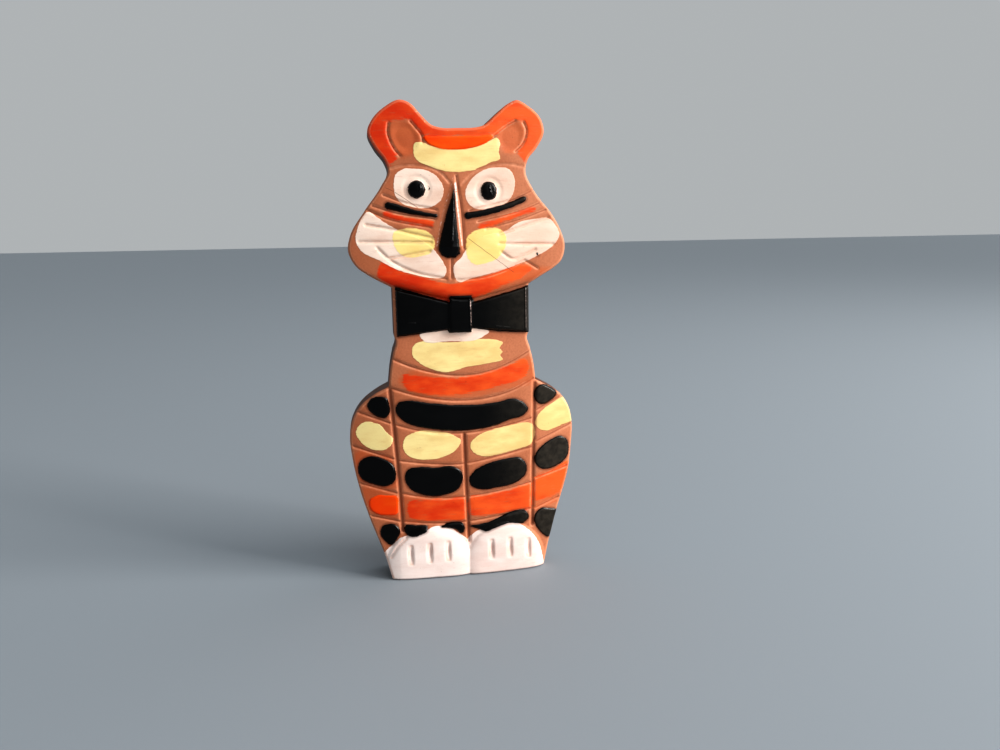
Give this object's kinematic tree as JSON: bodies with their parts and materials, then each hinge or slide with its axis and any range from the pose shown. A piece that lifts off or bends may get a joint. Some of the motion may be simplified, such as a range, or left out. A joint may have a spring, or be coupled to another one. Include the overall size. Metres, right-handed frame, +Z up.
{
  "type": "cat figurine",
  "caption": "Standing slab figurine of a seated cat with a bow tie, its face, coat and paws in low relief, hand-painted over reddish clay.",
  "frame": {"origin": "centre of the flat underside, under the middle of the base", "axes": "+Z up to the ears, the cat faces -Y, +X to its left paw's side as seen from the front"},
  "size_m": [0.1167, 0.0262, 0.2396],
  "materials": {
    "terracotta": "matt reddish-brown fired clay, partly painted and glazed"
  },
  "bodies": {
    "root": {"cat": "terracotta"}
  },
  "joints": []
}
